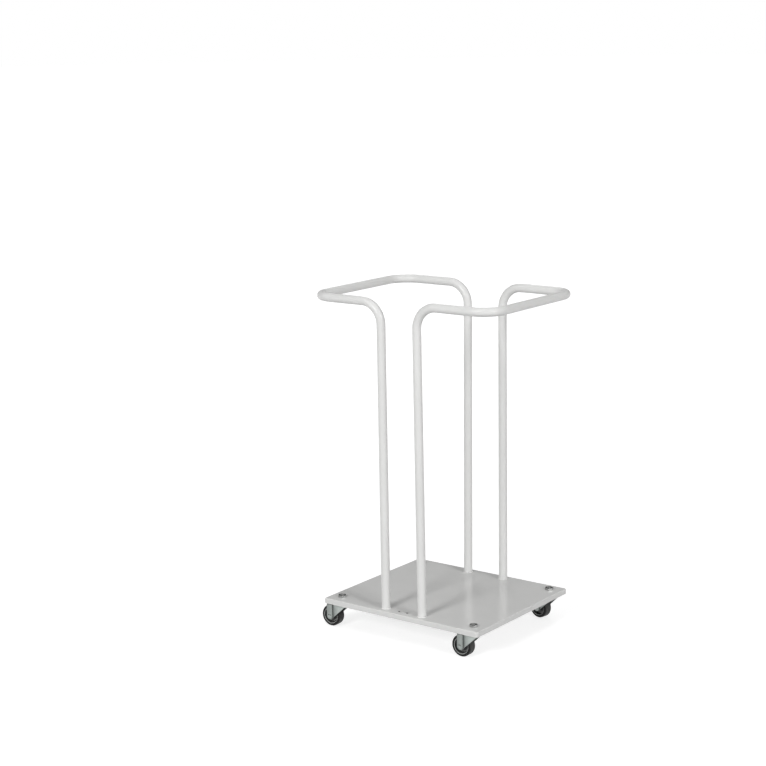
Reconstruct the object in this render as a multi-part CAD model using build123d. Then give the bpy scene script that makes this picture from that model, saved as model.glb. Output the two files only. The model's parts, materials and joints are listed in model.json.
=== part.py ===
from build123d import *
from math import acos, atan2, cos, hypot, pi, radians, sin, tan
import os

# Wheeled stand that holds a bag open: a folded steel deck on four swivel casters carries two
# bent tube hoops, and the bag's rim is turned over the ring that the hoops form together.
# Units are millimetres. The floor is z = 0, the origin is the middle of the stand on the floor,
# X runs across the two hoops and Y from the front (-Y) to the back.

# Deck, a sheet folded down on all four sides
deck_width = 425.0
deck_depth = 372.0
deck_sheet = 2.0
deck_flange = 12.0
deck_corner_radius = 6.0
deck_bend_radius = 3.0

# Tube hoops
tube_diameter = 20.0
tube_wall = 1.5
ring_width = 480.0
ring_depth = 336.0
ring_height = 770.0
ring_gap = 96.0
foot_gap = 100.0
foot_depth = 328.0
foot_overrun = 5.0
tube_bend_radius = 50.0
ring_corner_radius = 50.0
weld_leg = 1.2
weld_throat = 0.5

# Distance of each caster from the deck's two nearest edges
caster_edge = 30.0

# Fixing bolt and nut of each caster
bolt_diameter = 10.0
bolt_clearance = 0.3
bolt_across_flats = 17.0
bolt_head_height = 6.4
bolt_end_beyond_nut = 1.2
bolt_chamfer = 1.0
nut_height = 5.0
hex_chamfer = 0.7

# Swivel head: a fixed cap, a hollow kingpin and a lower race, with a ball row above and one
# below the fork's crown
cap_radius = 19.5
cap_sheet = 1.8
cap_skirt = 7.2
cap_bend_radius = 2.4
kingpin_wall = 1.2
kingpin_flange = 1.4
kingpin_flare = 1.2
race_sheet = 1.8
race_overhang = 0.6
upper_ball_diameter = 4.5
upper_ball_pitch_radius = 12.5
lower_ball_diameter = 3.2
ball_seat_depth = 0.3
ball_spacing = 1.0

# Fork, pressed from sheet
fork_sheet = 2.0
fork_bend_radius = 4.0
crown_rise = 6.3
crown_skirt = 1.5
crown_bend_radius = 3.0
leg_end_radius = 8.5
web_reach = 20.0
web_drop = 1.0
rib_width = 16.4
rib_rise = 2.2
rib_edge_radius = 2.0
rib_corner_radius = 3.0
rib_side_wall = 1.6
roof_notch_radius = 7.0

# Wheel and axle
wheel_diameter = 50.0
wheel_width = 20.0
caster_offset = 26.5
tyre_thickness = 6.0
tyre_shoulder = 3.0
rim_wall = 1.4
rim_edge = 0.8
web_thickness = 5.0
web_draft = 0.6
hub_radius = 9.0
axle_diameter = 6.0
axle_head_diameter = 9.5
axle_head_height = 1.8
axle_chamfer = 0.75
axle_nut_across_flats = 10.0
axle_nut_height = 5.0
axle_end_beyond_nut = 1.0
bush_diameter = 8.0

# Clearances
slip = 0.05
running_gap = 0.05
ball_seat_gap = 0.02
crown_bore_gap = 0.3
crown_skirt_gap = 0.3
wheel_side_gap = 1.5
wheel_top_gap = 6.0
hub_gap = 0.3

# Caster name, side of the stand along X and Y, and the way its wheel trails in degrees from +X
CASTERS = [
    ("front_left", -1, -1, 182.0),
    ("front_right", 1, -1, 180.0),
    ("rear_left", -1, 1, 181.0),
    ("rear_right", 1, 1, 170.0),
]

# Radii worked out from the sizes above
tube_radius = tube_diameter / 2
wheel_radius = wheel_diameter / 2
bolt_radius = bolt_diameter / 2
tread_radius = wheel_radius - tyre_thickness
rim_ring_radius = tread_radius - rim_wall
kingpin_bore_radius = bolt_radius + bolt_clearance
kingpin_radius = kingpin_bore_radius + kingpin_wall
lower_ball_pitch_radius = kingpin_radius + crown_bore_gap + lower_ball_diameter / 2
race_radius = lower_ball_pitch_radius + lower_ball_diameter / 2
kingpin_flange_radius = race_radius - race_overhang
crown_radius = cap_radius - cap_sheet - crown_skirt_gap

# Heights, stacked up from the floor: wheel, fork, lower head, upper head and deck
axle_height = wheel_radius
fork_roof = wheel_diameter + wheel_top_gap + fork_sheet
crown_top = fork_roof + crown_rise
crown_underside = crown_top - fork_sheet
race_top = crown_underside - lower_ball_diameter + 2 * ball_seat_depth
race_underside = race_top - race_sheet
kingpin_bottom = race_underside - kingpin_flange
cap_underside = crown_top + upper_ball_diameter - 2 * ball_seat_depth
deck_underside = cap_underside + cap_sheet
deck_top = deck_underside + deck_sheet

# Widths and places worked out from the sizes above
fork_gap = wheel_width + 2 * wheel_side_gap
hub_width = fork_gap - 2 * hub_gap
leg_outside = fork_gap / 2 + fork_sheet
rib_outside = leg_outside + rib_rise
caster_x = deck_width / 2 - caster_edge
caster_y = deck_depth / 2 - caster_edge


def revolved(points):
    """A solid turned about the Z axis from its half section, given as (radius, height) points."""
    outline = Polyline(*[(radius, 0, height) for radius, height in points], close=True)
    return revolve(make_face(outline), Axis.Z)


def on_y_axis(solid):
    """Turn a solid made about +Z so that its axis lies along +Y."""
    return Rot(X=-90) * solid


def hex_prism(across_flats, height):
    """A hexagon standing on z = 0 with both ends turned off at the corners."""
    corner_radius = across_flats / 2 / cos(radians(30))
    chamfer_drop = hex_chamfer * tan(radians(30))
    prism = extrude(RegularPolygon(corner_radius, 6), height)
    turned = revolved(
        [
            (0, 0),
            (corner_radius - hex_chamfer, 0),
            (corner_radius, chamfer_drop),
            (corner_radius, height - chamfer_drop),
            (corner_radius - hex_chamfer, height),
            (0, height),
        ]
    )
    return prism & turned


def pressed_tray(outline, depth, bend_radius):
    """A solid block under z = 0 with its top edges rounded, as one side of a pressed tray."""
    block = Pos(0, 0, -depth) * extrude(outline, depth)
    return fillet(block.faces().sort_by(Axis.Z)[-1].edges(), bend_radius)


def base_plate():
    """The deck: a tray with its flanges turned down and four holes for the caster bolts."""
    outside = pressed_tray(
        RectangleRounded(deck_width, deck_depth, deck_corner_radius),
        deck_flange,
        deck_bend_radius,
    )
    inside = pressed_tray(
        RectangleRounded(
            deck_width - 2 * deck_sheet,
            deck_depth - 2 * deck_sheet,
            deck_corner_radius - deck_sheet,
        ),
        deck_flange,
        deck_bend_radius - deck_sheet,
    )
    tray = Pos(0, 0, deck_top) * (outside - Pos(0, 0, -deck_sheet) * inside)
    for side_x in (-1, 1):
        for side_y in (-1, 1):
            hole = Cylinder(bolt_radius + bolt_clearance, 4 * deck_sheet)
            tray -= Pos(side_x * caster_x, side_y * caster_y, deck_top) * hole
    return tray


def hoop_path(side):
    """Centre line of one hoop, started a little below the deck so that it can be cut flush."""
    foot_x = side * foot_gap / 2
    top_x = side * ring_gap / 2
    far_x = side * ring_width / 2
    foot_y = foot_depth / 2
    ring_y = ring_depth / 2
    overrun = foot_overrun / (ring_height - deck_top)
    end_x = foot_x - (top_x - foot_x) * overrun
    end_y = foot_y - (ring_y - foot_y) * overrun
    return FilletPolyline(
        (end_x, -end_y, deck_top - foot_overrun),
        (top_x, -ring_y, ring_height),
        (far_x, -ring_y, ring_height),
        (far_x, ring_y, ring_height),
        (top_x, ring_y, ring_height),
        (end_x, end_y, deck_top - foot_overrun),
        radius=[tube_bend_radius, ring_corner_radius, ring_corner_radius, tube_bend_radius],
    )


def weld_bead(side, end):
    """A hollow concave fillet of weld round one tube foot, merged with the tube."""
    steepness = (weld_leg - weld_throat) / weld_throat
    bead = revolved(
        [
            (tube_radius - tube_wall / 2, 0),
            (tube_radius + weld_leg, 0),
            (tube_radius + weld_throat, weld_throat),
            (tube_radius - tube_wall / 2, weld_leg + steepness * tube_wall / 2),
        ]
    )
    return Pos(side * foot_gap / 2, end * foot_depth / 2, deck_top) * bead


def hoop(side):
    """One bent tube from its front foot round the ring to its rear foot."""
    path = hoop_path(side)
    section = Plane(origin=path @ 0, z_dir=path % 0)
    outer = sweep(section * Circle(tube_radius), path=path)
    inner = sweep(section * Circle(tube_radius - tube_wall), path=path)
    under_deck = Pos(0, 0, deck_top / 2) * Box(2 * ring_width, 2 * ring_depth, deck_top)
    beads = weld_bead(side, -1) + weld_bead(side, 1)
    return outer + beads - inner - under_deck


def fixing_bolt():
    """Hex bolt that comes up through the kingpin and the deck, with its head under the kingpin."""
    top = deck_top + nut_height + bolt_end_beyond_nut
    head = Pos(0, 0, kingpin_bottom - bolt_head_height) * hex_prism(bolt_across_flats, bolt_head_height)
    shank = revolved(
        [
            (0, kingpin_bottom - bolt_head_height / 2),
            (bolt_radius, kingpin_bottom - bolt_head_height / 2),
            (bolt_radius, top - bolt_chamfer),
            (bolt_radius - bolt_chamfer, top),
            (0, top),
        ]
    )
    return head + shank


def fixing_nut():
    """Thin hex nut on top of the deck."""
    nut = hex_prism(bolt_across_flats, nut_height)
    nut -= Cylinder(bolt_radius + slip, 4 * nut_height)
    return Pos(0, 0, deck_top) * nut


def ball_groove(pitch_radius, ball_diameter, centre_height):
    """Ring shaped cutter a little fatter than the balls, for the track that they run in."""
    return Pos(0, 0, centre_height) * Torus(pitch_radius, ball_diameter / 2 + running_gap)


def upper_ball_height():
    """Height of the upper ball centres, seated in the crown's track."""
    middle = (cap_underside + crown_top) / 2
    return middle - running_gap + ball_seat_gap


def lower_ball_height():
    """Height of the lower ball centres, held up against the crown's lower track."""
    middle = (crown_underside + race_top) / 2
    return middle + running_gap - ball_seat_gap


def head_cap():
    """Fixed pressed cap under the deck, with the upper ball track and a skirt that covers it."""
    outside = pressed_tray(Circle(cap_radius), cap_skirt, cap_bend_radius)
    inside = pressed_tray(Circle(cap_radius - cap_sheet), cap_skirt, cap_bend_radius - cap_sheet)
    dish = Pos(0, 0, deck_underside) * (outside - Pos(0, 0, -cap_sheet) * inside)
    seat = revolved(
        [
            (0, cap_underside - cap_sheet),
            (kingpin_radius + slip, cap_underside - cap_sheet),
            (kingpin_radius + slip, cap_underside),
            (kingpin_radius + kingpin_flare + slip, deck_underside),
            (kingpin_radius + kingpin_flare + slip, deck_underside + cap_sheet),
            (0, deck_underside + cap_sheet),
        ]
    )
    middle = (cap_underside + crown_top) / 2
    return dish - seat - ball_groove(upper_ball_pitch_radius, upper_ball_diameter, middle)


def kingpin():
    """Hollow rivet that holds the swivel head together and lets the fixing bolt through."""
    return revolved(
        [
            (kingpin_bore_radius, kingpin_bottom),
            (kingpin_flange_radius, kingpin_bottom),
            (kingpin_flange_radius, race_underside),
            (kingpin_radius, race_underside),
            (kingpin_radius, cap_underside),
            (kingpin_radius + kingpin_flare, deck_underside),
            (kingpin_bore_radius, deck_underside),
        ]
    )


def lower_race():
    """Turned ring on the kingpin's flange that carries the lower ball row."""
    ring = revolved(
        [
            (kingpin_radius + slip, race_underside),
            (race_radius, race_underside),
            (race_radius, race_top),
            (kingpin_radius + slip, race_top),
        ]
    )
    middle = (crown_underside + race_top) / 2
    return ring - ball_groove(lower_ball_pitch_radius, lower_ball_diameter, middle)


def ball_row(pitch_radius, ball_diameter, centre_height):
    """As many balls as the row takes, evenly spaced round the swivel axis."""
    count = int(2 * pi * pitch_radius / (ball_diameter + ball_spacing))
    ball = Sphere(ball_diameter / 2)
    places = PolarLocations(pitch_radius, count)
    return Compound(children=[Pos(0, 0, centre_height) * place * ball for place in places])


def fork_profile():
    """Side view of the fork legs: a straight rear edge, a round end and a sloping front web."""
    corner_z = fork_roof - web_drop
    along = web_reach + caster_offset
    rise = corner_z - axle_height
    turn = atan2(rise, along) - acos(leg_end_radius / hypot(along, rise))
    middle_turn = (turn - radians(180)) / 2
    rear_x = -caster_offset - leg_end_radius

    def on_leg_end(angle):
        x = -caster_offset + leg_end_radius * cos(angle)
        return (x, axle_height + leg_end_radius * sin(angle))

    rear = Line((rear_x, fork_roof), (rear_x, axle_height))
    end = ThreePointArc((rear_x, axle_height), on_leg_end(middle_turn), on_leg_end(turn))
    front = Polyline(on_leg_end(turn), (web_reach, corner_z), (web_reach, fork_roof), (rear_x, fork_roof))
    return Plane.XZ * make_face(rear + end + front)


def leg_bar(width, y_from, y_to, edge_radius):
    """An upright bar with a round lower end over the axle, from one Y to another, for a leg's rib.
    The edges of its face at the second Y are rounded."""
    height = fork_roof - fork_bend_radius - axle_height
    outline = Circle(width / 2) + Pos(0, height / 2) * Rectangle(width, height)
    outline = fillet(outline.vertices().group_by(Axis.Y)[-1], rib_corner_radius)
    placed = Plane.XZ * Pos(-caster_offset, axle_height) * outline
    bar = Pos(0, y_from, 0) * extrude(placed, amount=y_from - y_to)
    faces = bar.faces().filter_by(Axis.Y).sort_by(Axis.Y)
    face = faces[-1] if y_to > y_from else faces[0]
    return fillet(face.edges(), edge_radius)


def top_edges(solid):
    """The highest edges of a solid that run along X."""
    return solid.edges().filter_by(Axis.X).group_by(Axis.Z)[-1]


def fork():
    """Swivelling fork: two legs folded down from a roof with a raised round crown, and a broad
    rib pressed out of each leg over the axle."""
    channel = extrude(fork_profile(), amount=leg_outside, both=True)
    channel = fillet(top_edges(channel), fork_bend_radius)
    roof_underside = fork_roof - fork_sheet
    length = 4 * (caster_offset + web_reach)
    between = Pos(0, 0, roof_underside / 2) * Box(length, fork_gap, roof_underside)
    between = fillet(top_edges(between), fork_bend_radius - fork_sheet)
    notch = Pos(-caster_offset - leg_end_radius, 0, fork_roof) * Cylinder(roof_notch_radius, 4 * fork_sheet)
    crown_depth = crown_rise + crown_skirt
    crown = Pos(0, 0, crown_top) * pressed_tray(Circle(crown_radius), crown_depth, crown_bend_radius)
    dish = pressed_tray(
        Circle(crown_radius - fork_sheet),
        crown_depth,
        crown_bend_radius - fork_sheet,
    )
    shell = channel - between - notch + crown - Pos(0, 0, crown_underside) * dish
    groove_width = rib_width - 2 * rib_side_wall
    groove_edge_radius = rib_edge_radius - rib_side_wall
    for side in (-1, 1):
        outer_start = side * (leg_outside - fork_sheet / 2)
        groove_start = side * (fork_gap / 2 - fork_sheet)
        groove_end = side * (rib_outside - fork_sheet)
        shell += leg_bar(rib_width, outer_start, side * rib_outside, rib_edge_radius)
        shell -= leg_bar(groove_width, groove_start, groove_end, groove_edge_radius)
    shell -= at_axle(Cylinder(axle_diameter / 2 + slip, 4 * leg_outside))
    shell -= Pos(0, 0, crown_top) * Cylinder(kingpin_radius + crown_bore_gap, 4 * fork_sheet)
    upper_middle = (cap_underside + crown_top) / 2
    lower_middle = (crown_underside + race_top) / 2
    shell -= ball_groove(upper_ball_pitch_radius, upper_ball_diameter, upper_middle)
    shell -= ball_groove(lower_ball_pitch_radius, lower_ball_diameter, lower_middle)
    return shell


def at_axle(solid):
    """Place a piece made about +Z on the wheel axle, its +Z end towards +Y."""
    return Pos(-caster_offset, 0, axle_height) * on_y_axis(solid)


def axle():
    """Axle bolt with a low tapered head on one side of the fork."""
    radius = axle_diameter / 2
    head_radius = axle_head_diameter / 2
    start = -rib_outside
    end = rib_outside + axle_nut_height + axle_end_beyond_nut
    bolt = revolved(
        [
            (0, start - axle_head_height),
            (head_radius - axle_head_height, start - axle_head_height),
            (head_radius, start),
            (radius, start),
            (radius, end - axle_chamfer),
            (radius - axle_chamfer, end),
            (0, end),
        ]
    )
    return at_axle(bolt)


def axle_nut():
    """Nut on the axle bolt's far end."""
    nut = hex_prism(axle_nut_across_flats, axle_nut_height)
    nut -= Cylinder(axle_diameter / 2 + slip, 4 * axle_nut_height)
    return at_axle(Pos(0, 0, rib_outside) * nut)


def axle_bush():
    """Steel sleeve clamped between the fork legs, on which the wheel turns."""
    half = fork_gap / 2
    inner = axle_diameter / 2 + slip
    outer = bush_diameter / 2
    return at_axle(revolved([(inner, -half), (outer, -half), (outer, half), (inner, half)]))


def wheel_rim():
    """Moulded wheel centre: hub, thin web and the ring that carries the tyre."""
    bore = bush_diameter / 2 + running_gap
    hub_half = hub_width / 2
    ring_half = wheel_width / 2
    web_half = web_thickness / 2
    section = [
        (bore, hub_half),
        (hub_radius, hub_half),
        (hub_radius + web_draft, web_half),
        (rim_ring_radius - web_draft, web_half),
        (rim_ring_radius, ring_half - rim_edge),
        (rim_ring_radius + rim_edge, ring_half),
        (tread_radius, ring_half),
    ]
    mirrored = [(radius, -height) for radius, height in reversed(section)]
    return at_axle(revolved(section + mirrored))


def tyre():
    """Solid rubber tread with rounded shoulders, moulded on to the wheel centre."""
    half = wheel_width / 2
    shoulder = wheel_radius - tyre_shoulder
    ring = extrude(Circle(wheel_radius) - Circle(tread_radius), half, both=True)
    rims = [e for e in ring.edges().filter_by(GeomType.CIRCLE) if e.radius > shoulder]
    return at_axle(fillet(rims, tyre_shoulder))


def caster_pieces():
    """Every piece of one caster, with the swivel axis on Z and the wheel trailing to -X."""
    return {
        "fixing_bolt": fixing_bolt(),
        "fixing_nut": fixing_nut(),
        "head_cap": head_cap(),
        "kingpin": kingpin(),
        "lower_race": lower_race(),
        "upper_balls": ball_row(upper_ball_pitch_radius, upper_ball_diameter, upper_ball_height()),
        "lower_balls": ball_row(lower_ball_pitch_radius, lower_ball_diameter, lower_ball_height()),
        "fork": fork(),
        "axle": axle(),
        "axle_nut": axle_nut(),
        "axle_bush": axle_bush(),
        "wheel_rim": wheel_rim(),
        "tyre": tyre(),
    }


def stand():
    """All pieces of the stand by name."""
    pieces = {
        "base_plate": base_plate(),
        "left_hoop": hoop(-1),
        "right_hoop": hoop(1),
    }
    one_caster = caster_pieces()
    for name, side_x, side_y, trail in CASTERS:
        place = Pos(side_x * caster_x, side_y * caster_y, 0) * Rot(Z=trail - 180)
        for piece_name, piece in one_caster.items():
            pieces[f"{name}_{piece_name}"] = place * piece
    return pieces


os.makedirs("parts", exist_ok=True)
for node, shape in stand().items():
    export_step(shape, f"parts/{node}.step")
    print(f"{node:28s} {shape.volume:12.1f} mm3")
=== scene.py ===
import json
import math

import bmesh
import bpy
from mathutils import Matrix, Vector


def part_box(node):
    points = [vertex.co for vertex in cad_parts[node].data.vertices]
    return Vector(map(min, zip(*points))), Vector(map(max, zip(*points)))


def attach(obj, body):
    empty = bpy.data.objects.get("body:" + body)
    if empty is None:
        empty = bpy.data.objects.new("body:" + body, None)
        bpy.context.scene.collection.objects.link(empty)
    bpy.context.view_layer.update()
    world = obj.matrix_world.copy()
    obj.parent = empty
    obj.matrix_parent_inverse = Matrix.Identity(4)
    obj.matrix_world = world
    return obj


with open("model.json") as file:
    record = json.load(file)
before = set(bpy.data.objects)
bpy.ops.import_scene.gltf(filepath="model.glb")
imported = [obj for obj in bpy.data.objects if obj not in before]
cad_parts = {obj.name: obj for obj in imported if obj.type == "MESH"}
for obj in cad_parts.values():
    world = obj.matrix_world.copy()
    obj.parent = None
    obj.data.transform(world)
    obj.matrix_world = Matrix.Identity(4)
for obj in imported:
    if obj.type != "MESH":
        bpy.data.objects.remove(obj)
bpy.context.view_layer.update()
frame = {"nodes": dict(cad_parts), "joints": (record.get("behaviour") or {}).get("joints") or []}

CASTERS = ("front_left", "front_right", "rear_left", "rear_right")

# Camera, fitted to the outline of the tubes and the deck in the photograph
CAMERA_PLACE = (2.27414, -3.22294, 1.37206)
CAMERA_AZIMUTH = 37.205
CAMERA_ELEVATION = 11.500
CAMERA_ROLL = -0.972
CAMERA_REACH = 200.0
FOCAL_PIXELS = 1782.73
IMAGE_PIXELS = 766
SENSOR_MM = 36.0


def make_camera():
    """The photograph's viewpoint, lens and slight roll."""
    data = bpy.data.cameras.new("camera")
    data.sensor_width = SENSOR_MM
    data.lens = FOCAL_PIXELS / IMAGE_PIXELS * SENSOR_MM
    data.clip_end = CAMERA_REACH
    camera = bpy.data.objects.new("camera", data)
    bpy.context.scene.collection.objects.link(camera)
    turn = Matrix.Rotation(math.radians(CAMERA_AZIMUTH), 4, "Z")
    tilt = Matrix.Rotation(math.radians(90 - CAMERA_ELEVATION), 4, "X")
    roll = Matrix.Rotation(math.radians(CAMERA_ROLL), 4, "Z")
    camera.matrix_world = Matrix.Translation(CAMERA_PLACE) @ turn @ tilt @ roll
    bpy.context.scene.camera = camera


class Nodes:
    """Short helper for building a node tree from nothing."""

    def __init__(self, tree):
        tree.nodes.clear()
        self.tree = tree

    def add(self, kind, **settings):
        node = self.tree.nodes.new(kind)
        for name, value in settings.items():
            setattr(node, name, value)
        return node

    def link(self, source, target):
        self.tree.links.new(source, target)


def empty_material(name):
    """A new material without nodes, and its nodes helper."""
    material = bpy.data.materials.new(name)
    material.use_nodes = True
    return material, Nodes(material.node_tree)


def new_material(name):
    """A new material, its nodes helper and the shader that its output shows."""
    material, nodes = empty_material(name)
    shader = nodes.add("ShaderNodeBsdfPrincipled")
    output = nodes.add("ShaderNodeOutputMaterial")
    nodes.link(shader.outputs["BSDF"], output.inputs["Surface"])
    return material, nodes, shader


def noise(nodes, scale, detail=2.0, roughness=0.5, stretch=(1, 1, 1)):
    """Noise in the object's own coordinates, in features per metre."""
    place = nodes.add("ShaderNodeTexCoord")
    mapping = nodes.add("ShaderNodeMapping")
    mapping.inputs["Scale"].default_value = stretch
    texture = nodes.add("ShaderNodeTexNoise")
    texture.inputs["Scale"].default_value = scale
    texture.inputs["Detail"].default_value = detail
    texture.inputs["Roughness"].default_value = roughness
    nodes.link(place.outputs["Object"], mapping.inputs["Vector"])
    nodes.link(mapping.outputs["Vector"], texture.inputs["Vector"])
    return texture.outputs["Fac"]


# Most of a noise's values lie between these
NOISE_LOW = 0.3
NOISE_HIGH = 0.7


def spread(nodes, value, low, high, start=NOISE_LOW, end=NOISE_HIGH, curve="LINEAR"):
    """Map a value that runs from start to end onto the range from low to high."""
    remap = nodes.add("ShaderNodeMapRange", interpolation_type=curve)
    remap.inputs["From Min"].default_value = start
    remap.inputs["From Max"].default_value = end
    remap.inputs["To Min"].default_value = low
    remap.inputs["To Max"].default_value = high
    nodes.link(value, remap.inputs["Value"])
    return remap.outputs["Result"]


def tint(nodes, value, first, second):
    """Blend two colours by a noise value."""
    ramp = nodes.add("ShaderNodeValToRGB")
    ramp.color_ramp.elements[0].position = NOISE_LOW
    ramp.color_ramp.elements[1].position = NOISE_HIGH
    ramp.color_ramp.elements[0].color = (*first, 1)
    ramp.color_ramp.elements[1].color = (*second, 1)
    nodes.link(value, ramp.inputs["Fac"])
    return ramp.outputs["Color"]


def math_node(nodes, operation, first, second=None):
    """One arithmetic step on a socket, with a socket or a plain number."""
    node = nodes.add("ShaderNodeMath", operation=operation)
    nodes.link(first, node.inputs[0])
    if isinstance(second, (int, float)):
        node.inputs[1].default_value = second
    elif second is not None:
        nodes.link(second, node.inputs[1])
    return node.outputs[0]


# Places of the colour sockets on a mix node, where several sockets share a name
MIX_FIRST = 6
MIX_SECOND = 7
MIX_RESULT = 2


def mix(nodes, amount, first, second):
    """Blend two colours, each a socket or a plain colour, by a socket."""
    node = nodes.add("ShaderNodeMix", data_type="RGBA")
    nodes.link(amount, node.inputs["Factor"])
    for value, socket in ((first, node.inputs[MIX_FIRST]), (second, node.inputs[MIX_SECOND])):
        if isinstance(value, tuple):
            socket.default_value = (*value, 1)
        else:
            nodes.link(value, socket)
    return node.outputs[MIX_RESULT]


def multiply(nodes, first, second):
    """Multiply two colour sockets."""
    node = nodes.add("ShaderNodeMix", data_type="RGBA", blend_type="MULTIPLY")
    node.inputs["Factor"].default_value = 1.0
    nodes.link(first, node.inputs[MIX_FIRST])
    nodes.link(second, node.inputs[MIX_SECOND])
    return node.outputs[MIX_RESULT]


def bump(nodes, height, rise, under=None):
    """A bump of a real rise in metres, on top of another bump if one is given."""
    node = nodes.add("ShaderNodeBump")
    node.inputs["Strength"].default_value = 1.0
    node.inputs["Distance"].default_value = rise
    nodes.link(height, node.inputs["Height"])
    if under is not None:
        nodes.link(under, node.inputs["Normal"])
    return node.outputs["Normal"]


def dimmed(colour, share):
    """A colour at a share of its brightness."""
    return tuple(channel * share for channel in colour)


# How far the painted corner shade reaches, in metres, and the open share of the view where it begins
# and ends
SHADE_REACH = 0.008
SHADE_START = 0.72
SHADE_END = 0.97


def corner_shade_mask(nodes):
    """1 on open faces and 0 in corners and recesses, where the colour is darkened as painted shade."""
    shade = nodes.add("ShaderNodeAmbientOcclusion", samples=8, only_local=True)
    shade.inputs["Distance"].default_value = SHADE_REACH
    return spread(nodes, shade.outputs["AO"], 0, 1, SHADE_START, SHADE_END)


# Upward share of a face's normal, from a nut's side to its top, over which its painted dark top fades
# in
SIDE_UPWARD = 0.6
TOP_UPWARD = 0.95


def dark_top_mask(nodes):
    """1 on faces that look up, which get the painted dark top, and 0 on upright ones."""
    place = nodes.add("ShaderNodeTexCoord")
    parts = nodes.add("ShaderNodeSeparateXYZ")
    nodes.link(place.outputs["Normal"], parts.inputs[0])
    return spread(nodes, parts.outputs["Z"], 0, 1, SIDE_UPWARD, TOP_UPWARD)


def wheel_pose(caster):
    """Centre of a wheel, and the turn of its trail from the X axis, from the frame's joints."""
    places = {joint["name"]: Vector(joint["pos_m"]) for joint in frame["joints"]}
    centre = places[f"{caster}_wheel_roll"]
    trail = centre - places[f"{caster}_swivel_turn"]
    return centre, math.atan2(trail.y, trail.x)


def wheel_axes(nodes, caster):
    """A wheel's own coordinates from its centre: X away from the kingpin, Y along the axle, Z up."""
    centre, turn = wheel_pose(caster)
    mapping = nodes.add("ShaderNodeMapping", vector_type="TEXTURE")
    mapping.inputs["Location"].default_value = centre
    mapping.inputs["Rotation"].default_value = (0, 0, turn)
    place = nodes.add("ShaderNodeTexCoord")
    nodes.link(place.outputs["Object"], mapping.inputs["Vector"])
    parts = nodes.add("ShaderNodeSeparateXYZ")
    nodes.link(mapping.outputs["Vector"], parts.inputs[0])
    return parts.outputs


def wheel_radius(nodes, axes):
    """Distance from the axle."""
    across = math_node(nodes, "MULTIPLY", axes["X"], axes["X"])
    up = math_node(nodes, "MULTIPLY", axes["Z"], axes["Z"])
    return math_node(nodes, "SQRT", math_node(nodes, "ADD", across, up))


def wheel_depth(nodes, axes):
    """Distance from the wheel's middle plane."""
    return math_node(nodes, "ABSOLUTE", axes["Y"])


# Half the width of the rib on a fork's leg, and how far its web reaches from the axle
RIB_HALF = 0.0082
WEB_END = 0.026

# Painted light and shade across a fork's leg, each tone with its distance from the axle towards the
# kingpin
LEG_LIGHT_AND_SHADE = (
    (-RIB_HALF, 0.60),
    (-RIB_HALF * 0.4, 0.74),
    (RIB_HALF * 0.4, 0.86),
    (RIB_HALF * 0.9, 0.78),
    (RIB_HALF * 1.12, 0.62),
    (RIB_HALF * 1.32, 0.52),
    (RIB_HALF * 1.70, 0.80),
    (WEB_END, 1.18),
)


def painted_leg_shading(nodes, caster):
    """Painted light and shade on a fork's leg: a rib darker at its outer edge and lighter near its
    middle, a painted shadow in the groove beside it, and a web painted brighter towards the kingpin.
    """
    towards = math_node(nodes, "MULTIPLY", wheel_axes(nodes, caster)["X"], -1)
    ramp = nodes.add("ShaderNodeValToRGB")
    elements = ramp.color_ramp.elements
    while len(elements) < len(LEG_LIGHT_AND_SHADE):
        elements.new(0.5)
    for element, (place, tone) in zip(elements, LEG_LIGHT_AND_SHADE):
        element.position = (place + RIB_HALF) / (WEB_END + RIB_HALF)
        element.color = (tone, tone, tone, 1)
    nodes.link(spread(nodes, towards, 0, 1, -RIB_HALF, WEB_END), ramp.inputs["Fac"])
    return ramp.outputs["Color"]


def powder_coat(name, colour, roughness, specular):
    """Sprayed and baked paint: soft orange peel, a finer grain and hardly any colour change."""
    material, nodes, shader = new_material(name)
    clouds = tint(nodes, noise(nodes, scale=14, detail=3), dimmed(colour, 0.97), colour)
    nodes.link(clouds, shader.inputs["Base Color"])
    gloss = spread(nodes, noise(nodes, scale=60, detail=3), roughness * 0.9, roughness * 1.1)
    nodes.link(gloss, shader.inputs["Roughness"])
    shader.inputs["Specular IOR Level"].default_value = specular
    peel = bump(nodes, noise(nodes, scale=420, detail=1.5), rise=0.00005)
    grain = bump(nodes, noise(nodes, scale=2600, detail=1), rise=0.000006, under=peel)
    nodes.link(grain, shader.inputs["Normal"])
    return material


def zinc(name, light, dark, roughness, painted_dark_top=False, leg_shading_for=None):
    """Plated steel with painted shade in its corners; a nut's top is painted dark as a painted
    reflection, and a fork's leg gets painted light and shade across its rib.
    """
    material, nodes, shader = new_material(name)
    shader.inputs["Metallic"].default_value = 1.0
    mottle = tint(nodes, noise(nodes, scale=130, detail=4, roughness=0.6), dark, light)
    # Painted shade: corners and recesses darkened towards a third of the dark tone.
    colour = mix(nodes, corner_shade_mask(nodes), dimmed(dark, 0.3), mottle)
    # Painted reflection: faces that look up are painted dark, for the dim wall above that they reflect.
    if painted_dark_top:
        colour = mix(nodes, dark_top_mask(nodes), colour, dimmed(dark, 0.35))
    # Painted light and shade across the fork's leg.
    if leg_shading_for:
        colour = multiply(nodes, colour, painted_leg_shading(nodes, leg_shading_for))
    nodes.link(colour, shader.inputs["Base Color"])
    streaks = noise(nodes, scale=260, detail=3, roughness=0.6, stretch=(1, 1, 0.12))
    gloss = spread(nodes, streaks, roughness * 0.8, roughness * 1.25)
    nodes.link(gloss, shader.inputs["Roughness"])
    marks = bump(nodes, streaks, rise=0.00004)
    fine = bump(nodes, noise(nodes, scale=1500), rise=0.00001, under=marks)
    nodes.link(fine, shader.inputs["Normal"])
    return material


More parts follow.
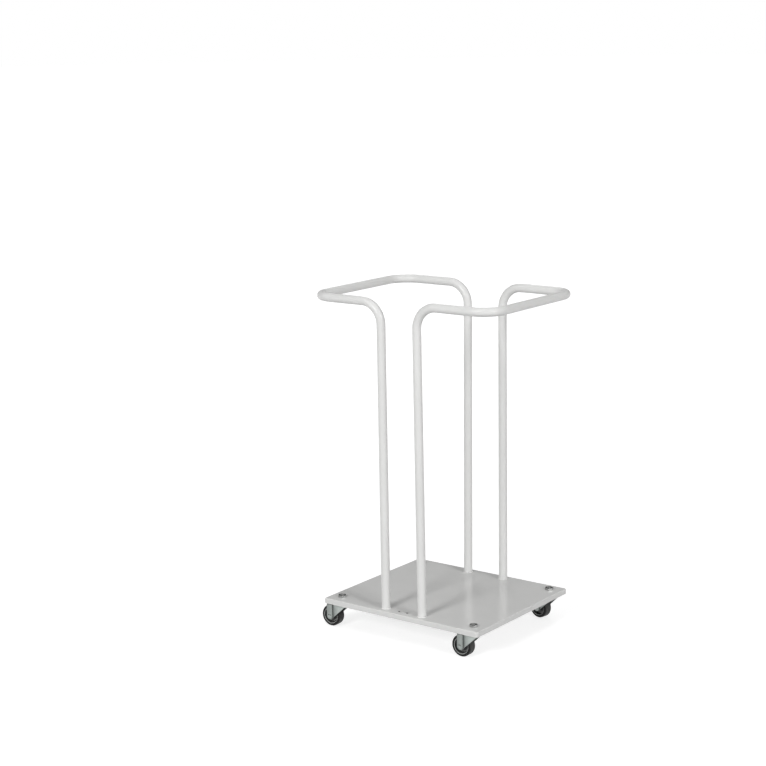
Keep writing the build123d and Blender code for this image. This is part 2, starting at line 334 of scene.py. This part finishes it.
def polished_steel(name):
    """Ground bearing balls and turned races."""
    material, nodes, shader = new_material(name)
    shader.inputs["Metallic"].default_value = 1.0
    colour = tint(nodes, noise(nodes, scale=300), (0.50, 0.50, 0.49), (0.62, 0.62, 0.61))
    nodes.link(colour, shader.inputs["Base Color"])
    nodes.link(spread(nodes, noise(nodes, scale=700), 0.08, 0.18), shader.inputs["Roughness"])
    return material


# Distance of the wheel centre's lip from the middle plane, from its foot to its edge, where the painted
# recess shade gives way to the plastic's own grey
LIP_START = 0.0088
LIP_END = 0.0096


def wheel_plastic(caster):
    """Wheel centre: satin moulded plastic, pale grey on its lip, and near black in its recess as
    painted shade.
    """
    material, nodes, shader = new_material(f"{caster}_wheel_grey")
    depth = wheel_depth(nodes, wheel_axes(nodes, caster))
    lip = spread(nodes, depth, 0, 1, LIP_START, LIP_END)
    scuffs = noise(nodes, scale=260, detail=3)
    pale = tint(nodes, scuffs, (0.30, 0.31, 0.305), (0.42, 0.43, 0.42))
    # Painted shade: the recess inside the lip is near black.
    recess_shade = tint(nodes, scuffs, (0.030, 0.031, 0.031), (0.045, 0.046, 0.045))
    nodes.link(mix(nodes, lip, recess_shade, pale), shader.inputs["Base Color"])
    nodes.link(spread(nodes, noise(nodes, scale=400), 0.36, 0.5), shader.inputs["Roughness"])
    nodes.link(bump(nodes, noise(nodes, scale=1800), rise=0.00002), shader.inputs["Normal"])
    return material


# Tyre, in metres: where its tread starts and is full, where its flat side does, and its rings' pitch
TREAD_START = 0.0235
TREAD_FULL = 0.0248
SIDE_START = 0.0094
SIDE_FULL = 0.0099
RING_PITCH = 0.0011


def rubber(caster):
    """Black tyre: near-black sides with moulding rings, and a grey tread whose grey is partly dust and
    wear and partly painted sheen for the light the tread catches.
    """
    material, nodes, shader = new_material(f"{caster}_tyre_black")
    axes = wheel_axes(nodes, caster)
    radius = wheel_radius(nodes, axes)
    dust = noise(nodes, scale=160, detail=4, roughness=0.65)
    tread = spread(nodes, radius, 0, 1, TREAD_START, TREAD_FULL)
    side = tint(nodes, dust, (0.004, 0.004, 0.004), (0.010, 0.010, 0.010))
    # The tread's grey is partly dust and wear and partly painted sheen.
    worn = tint(nodes, dust, (0.020, 0.020, 0.020), (0.075, 0.075, 0.073))
    nodes.link(mix(nodes, tread, side, worn), shader.inputs["Base Color"])
    nodes.link(spread(nodes, dust, 0.42, 0.60), shader.inputs["Roughness"])
    shader.inputs["Specular IOR Level"].default_value = 0.22
    ring_angle = math_node(nodes, "MULTIPLY", radius, 2 * math.pi / RING_PITCH)
    rings = math_node(nodes, "SINE", ring_angle)
    flat_side = spread(nodes, wheel_depth(nodes, axes), 0, 1, SIDE_START, SIDE_FULL)
    moulded = bump(nodes, math_node(nodes, "MULTIPLY", rings, flat_side), rise=0.00006)
    pits = bump(nodes, noise(nodes, scale=900, detail=3, roughness=0.6), rise=0.00005, under=moulded)
    nodes.link(pits, shader.inputs["Normal"])
    return material


def paint(node, material):
    """Give a CAD node one material of its own."""
    data = frame["nodes"][node].data
    data.materials.clear()
    data.materials.append(material)


# Colour and roughness of each coat
TUBE_COLOUR = (0.79, 0.79, 0.78)
TUBE_ROUGHNESS = 0.32
# The deck's coat is the tubes' white set a little darker, as painted shade.
DECK_COLOUR = (0.735, 0.735, 0.725)
DECK_ROUGHNESS = 0.18
PLATE_COLOUR = (0.58, 0.58, 0.57)
PLATE_ROUGHNESS = 0.35

# Lighter and darker tone of each plating, and its roughness
FORK_COLOURS = ((0.40, 0.43, 0.415), (0.33, 0.36, 0.345))
FORK_ROUGHNESS = 0.36
NUT_COLOURS = ((0.52, 0.525, 0.52), (0.40, 0.405, 0.40))
NUT_ROUGHNESS = 0.21
RIVET_COLOURS = ((0.10, 0.10, 0.10), (0.06, 0.06, 0.06))
RIVET_ROUGHNESS = 0.35


def finish_all():
    """Material of every CAD node."""
    tube_white = powder_coat("tube_white", TUBE_COLOUR, TUBE_ROUGHNESS, specular=0.4)
    deck_darkened_white = powder_coat("deck_darkened_white", DECK_COLOUR, DECK_ROUGHNESS, specular=0.5)
    head_zinc = zinc("head_zinc", *FORK_COLOURS, FORK_ROUGHNESS)
    nut_zinc = zinc("nut_zinc", *NUT_COLOURS, NUT_ROUGHNESS, painted_dark_top=True)
    bolt_zinc = zinc("bolt_zinc", *NUT_COLOURS, NUT_ROUGHNESS)
    steel = polished_steel("bearing_steel")
    paint("base_plate", deck_darkened_white)
    paint("left_hoop", tube_white)
    paint("right_hoop", tube_white)
    for caster in CASTERS:
        paint(f"{caster}_fixing_bolt", bolt_zinc)
        paint(f"{caster}_fixing_nut", nut_zinc)
        for piece in ("head_cap", "kingpin", "axle", "axle_nut", "axle_bush"):
            paint(f"{caster}_{piece}", head_zinc)
        fork_zinc = zinc(f"{caster}_fork_zinc", *FORK_COLOURS, FORK_ROUGHNESS, leg_shading_for=caster)
        paint(f"{caster}_fork", fork_zinc)
        for piece in ("lower_race", "upper_balls", "lower_balls"):
            paint(f"{caster}_{piece}", steel)
        paint(f"{caster}_wheel_rim", wheel_plastic(caster))
        paint(f"{caster}_tyre", rubber(caster))


def join_rings(build, lower, upper):
    """Quads between two rings of points."""
    count = len(lower)
    for here in range(count):
        after = (here + 1) % count
        build.faces.new((lower[here], lower[after], upper[after], upper[here]))


def close_rings(build, rings):
    """Join a stack of rings of points and close both ends."""
    for lower, upper in zip(rings, rings[1:]):
        join_rings(build, lower, upper)
    build.faces.new(rings[0])
    build.faces.new(rings[-1])


def add_piece(name, build, material, body="stand"):
    """A new mesh piece that rides on a body."""
    mesh = bpy.data.meshes.new(name)
    bmesh.ops.recalc_face_normals(build, faces=build.faces)
    build.to_mesh(mesh)
    build.free()
    piece = bpy.data.objects.new(name, mesh)
    bpy.context.scene.collection.objects.link(piece)
    mesh.materials.append(material)
    mesh.shade_smooth()
    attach(piece, body)


# Small blank plate between the front feet, held by two rivets, in metres
PLATE_MIDDLE = (0.0, -0.167)
PLATE_SIZE = (0.028, 0.010)
PLATE_THICK = 0.0004
PLATE_CORNER = 0.0015
PLATE_EDGE = 0.00015
RIVET_SPACING = 0.022
RIVET_RADIUS = 0.0024
RIVET_RISE = 0.0009
ROUND_STEPS = 24
RISE_STEPS = 5


def make_nameplate(deck_top):
    """Thin plate with round corners and a softened edge, lying on the deck."""
    build = bmesh.new()
    corner_x = PLATE_SIZE[0] / 2 - PLATE_CORNER
    corner_y = PLATE_SIZE[1] / 2 - PLATE_CORNER
    sides = ((1, 1), (-1, 1), (-1, -1), (1, -1))
    levels = ((0.0, 0.0), (0.0, PLATE_THICK - PLATE_EDGE), (PLATE_EDGE, PLATE_THICK))
    steps = ROUND_STEPS // 4
    rings = []
    for inset, height in levels:
        radius = PLATE_CORNER - inset
        ring = []
        for quarter, (side_x, side_y) in enumerate(sides):
            for step in range(steps + 1):
                angle = math.pi / 2 * (quarter + step / steps)
                x = PLATE_MIDDLE[0] + side_x * corner_x + radius * math.cos(angle)
                y = PLATE_MIDDLE[1] + side_y * corner_y + radius * math.sin(angle)
                ring.append(build.verts.new((x, y, deck_top + height)))
        rings.append(ring)
    close_rings(build, rings)
    coat = powder_coat("plate_pale", PLATE_COLOUR, PLATE_ROUGHNESS, specular=0.4)
    add_piece("nameplate", build, coat)


def make_rivet(name, middle, base, material):
    """Low domed rivet head on the plate."""
    build = bmesh.new()
    rings = []
    for level in range(RISE_STEPS):
        lift = math.pi / 2 * level / RISE_STEPS
        radius = RIVET_RADIUS * math.cos(lift)
        height = base + RIVET_RISE * math.sin(lift)
        ring = []
        for step in range(ROUND_STEPS):
            angle = 2 * math.pi * step / ROUND_STEPS
            x = middle + radius * math.cos(angle)
            y = PLATE_MIDDLE[1] + radius * math.sin(angle)
            ring.append(build.verts.new((x, y, height)))
        rings.append(ring)
    close_rings(build, rings)
    add_piece(name, build, material)


def make_plate_and_rivets():
    """The blank plate with a rivet near each end."""
    deck_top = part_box("base_plate")[1][2]
    make_nameplate(deck_top)
    blackened = zinc("rivet_dark", *RIVET_COLOURS, RIVET_ROUGHNESS)
    for name, side in (("left", -1), ("right", 1)):
        middle = PLATE_MIDDLE[0] + side * RIVET_SPACING / 2
        make_rivet(f"{name}_rivet", middle, deck_top + PLATE_THICK, blackened)


# Raised ring moulded on each face of a wheel's web, in metres
BEAD_RADIUS = 0.0138
BEAD_HALF_WIDTH = 0.0009
BEAD_RISE = 0.0008
WEB_HALF = 0.0025
BEAD_STEPS = 96
BEAD_SECTION = 12


def make_wheel_bead(caster, side, label, material):
    """A rounded ring half sunk in one face of the wheel's web."""
    centre, turn = wheel_pose(caster)
    along = Vector((math.cos(turn), math.sin(turn), 0))
    axle = Vector((-math.sin(turn), math.cos(turn), 0))
    up = Vector((0, 0, 1))
    middle = centre + axle * (side * WEB_HALF)
    build = bmesh.new()
    rings = []
    for step in range(BEAD_STEPS):
        angle = 2 * math.pi * step / BEAD_STEPS
        out = along * math.cos(angle) + up * math.sin(angle)
        ring = []
        for part in range(BEAD_SECTION):
            round_angle = 2 * math.pi * part / BEAD_SECTION
            reach = BEAD_RADIUS + BEAD_HALF_WIDTH * math.cos(round_angle)
            lift = BEAD_RISE * math.sin(round_angle)
            ring.append(build.verts.new(middle + out * reach + axle * (side * lift)))
        rings.append(ring)
    for ring, after in zip(rings, rings[1:] + rings[:1]):
        join_rings(build, ring, after)
    add_piece(f"{caster}_wheel_bead_{label}", build, material, f"{caster}_wheel")


def make_wheel_beads():
    """Both rings of every wheel."""
    for caster in CASTERS:
        material, nodes, shader = new_material(f"{caster}_bead_grey")
        scuffs = noise(nodes, scale=260, detail=3)
        worn = tint(nodes, scuffs, (0.20, 0.205, 0.20), (0.38, 0.39, 0.38))
        nodes.link(worn, shader.inputs["Base Color"])
        nodes.link(spread(nodes, scuffs, 0.36, 0.5), shader.inputs["Roughness"])
        make_wheel_bead(caster, -1, "right", material)
        make_wheel_bead(caster, 1, "left", material)


# Floor: its size in metres, its grey, its glow near the stand and far off, and where that changes
FLOOR_RADIUS = 60.0
FLOOR_SIDES = 64
FLOOR_GREY = 0.50
NEAR_GLOW = 0.74
FAR_GLOW = 0.95
GLOW_START = 0.6
GLOW_END = 3.0


def seen_rays(nodes):
    """1 for camera, glossy and transmission rays, which see the white background."""
    path = nodes.add("ShaderNodeLightPath").outputs
    first = math_node(nodes, "MAXIMUM", path["Is Camera Ray"], path["Is Glossy Ray"])
    return math_node(nodes, "MAXIMUM", first, path["Is Transmission Ray"])


def floor_material():
    """Matt grey with a glow of its own for the rays that see it, whiter far from the stand."""
    material, nodes = empty_material("floor_white")
    output = nodes.add("ShaderNodeOutputMaterial")
    diffuse = nodes.add("ShaderNodeBsdfDiffuse")
    diffuse.inputs["Color"].default_value = (FLOOR_GREY, FLOOR_GREY, FLOOR_GREY, 1)
    place = nodes.add("ShaderNodeTexCoord")
    distance = nodes.add("ShaderNodeVectorMath", operation="LENGTH")
    nodes.link(place.outputs["Object"], distance.inputs[0])
    level = spread(nodes, distance.outputs["Value"], NEAR_GLOW, FAR_GLOW, GLOW_START, GLOW_END)
    glow = nodes.add("ShaderNodeEmission")
    nodes.link(math_node(nodes, "MULTIPLY", level, seen_rays(nodes)), glow.inputs["Strength"])
    both = nodes.add("ShaderNodeAddShader")
    nodes.link(diffuse.outputs[0], both.inputs[0])
    nodes.link(glow.outputs[0], both.inputs[1])
    nodes.link(both.outputs[0], output.inputs["Surface"])
    return material


def make_floor():
    """Pale floor that shows white to the camera and in gloss, and keeps a faint shadow."""
    mesh = bpy.data.meshes.new("floor")
    build = bmesh.new()
    bmesh.ops.create_circle(build, cap_ends=True, radius=FLOOR_RADIUS, segments=FLOOR_SIDES)
    build.to_mesh(mesh)
    build.free()
    floor = bpy.data.objects.new("floor", mesh)
    bpy.context.scene.collection.objects.link(floor)
    mesh.materials.append(floor_material())


# Heights above the horizon in degrees, and the brightness of the wall above the backdrop and overhead
BACKDROP_TOP = 3.0
BACKDROP_FADE = 10.0
UPPER_WALL = 0.20
CEILING_START = 35.0
CEILING = 0.46


def height_at(elevation):
    """Upward share of a direction that many degrees above the horizon."""
    return math.sin(math.radians(elevation))


def make_world():
    """A white backdrop round the horizon, a dim wall above it and a soft lighter ceiling."""
    world = bpy.data.worlds.new("studio")
    bpy.context.scene.world = world
    world.use_nodes = True
    nodes = Nodes(world.node_tree)
    output = nodes.add("ShaderNodeOutputWorld")
    background = nodes.add("ShaderNodeBackground")
    background.inputs["Color"].default_value = (1, 1, 1, 1)
    place = nodes.add("ShaderNodeTexCoord")
    parts = nodes.add("ShaderNodeSeparateXYZ")
    nodes.link(place.outputs["Generated"], parts.inputs[0])
    height = parts.outputs["Z"]
    fade = (height_at(BACKDROP_TOP), height_at(BACKDROP_FADE))
    backdrop = spread(nodes, height, 1.0, UPPER_WALL, *fade, curve="SMOOTHSTEP")
    rise = (height_at(CEILING_START), 1.0)
    ceiling = spread(nodes, height, 0.0, CEILING - UPPER_WALL, *rise, curve="SMOOTHSTEP")
    nodes.link(math_node(nodes, "ADD", backdrop, ceiling), background.inputs["Strength"])
    nodes.link(background.outputs[0], output.inputs["Surface"])


# Lamps, in metres: how far they stand off, and the height of the stand's middle that they face
LAMP_DISTANCE = 10.0
AIM_HEIGHT = 0.4


def softbox(name, azimuth, elevation, size, power):
    """A square area lamp aimed at the middle of the stand."""
    heading = math.radians(azimuth)
    level = math.cos(math.radians(elevation))
    height = math.sin(math.radians(elevation))
    away = Vector((math.sin(heading) * level, -math.cos(heading) * level, height))
    data = bpy.data.lights.new(name, "AREA")
    data.shape = "SQUARE"
    data.size = size
    data.energy = power
    lamp = bpy.data.objects.new(name, data)
    lamp.location = Vector((0, 0, AIM_HEIGHT)) + away * LAMP_DISTANCE
    lamp.rotation_euler = (-away).to_track_quat("-Z", "Y").to_euler()
    bpy.context.scene.collection.objects.link(lamp)


def make_lights():
    """Two soft lamps on either side of the camera, and a weak one behind the stand."""
    softbox("left_lamp", azimuth=0, elevation=26, size=2.4, power=470)
    softbox("right_lamp", azimuth=76, elevation=26, size=2.4, power=345)
    softbox("rear_lamp", azimuth=217, elevation=38, size=3.0, power=100)


make_camera()
make_world()
make_lights()
make_floor()
finish_all()
make_plate_and_rivets()
make_wheel_beads()

bpy.context.scene.view_settings.view_transform = "Standard"
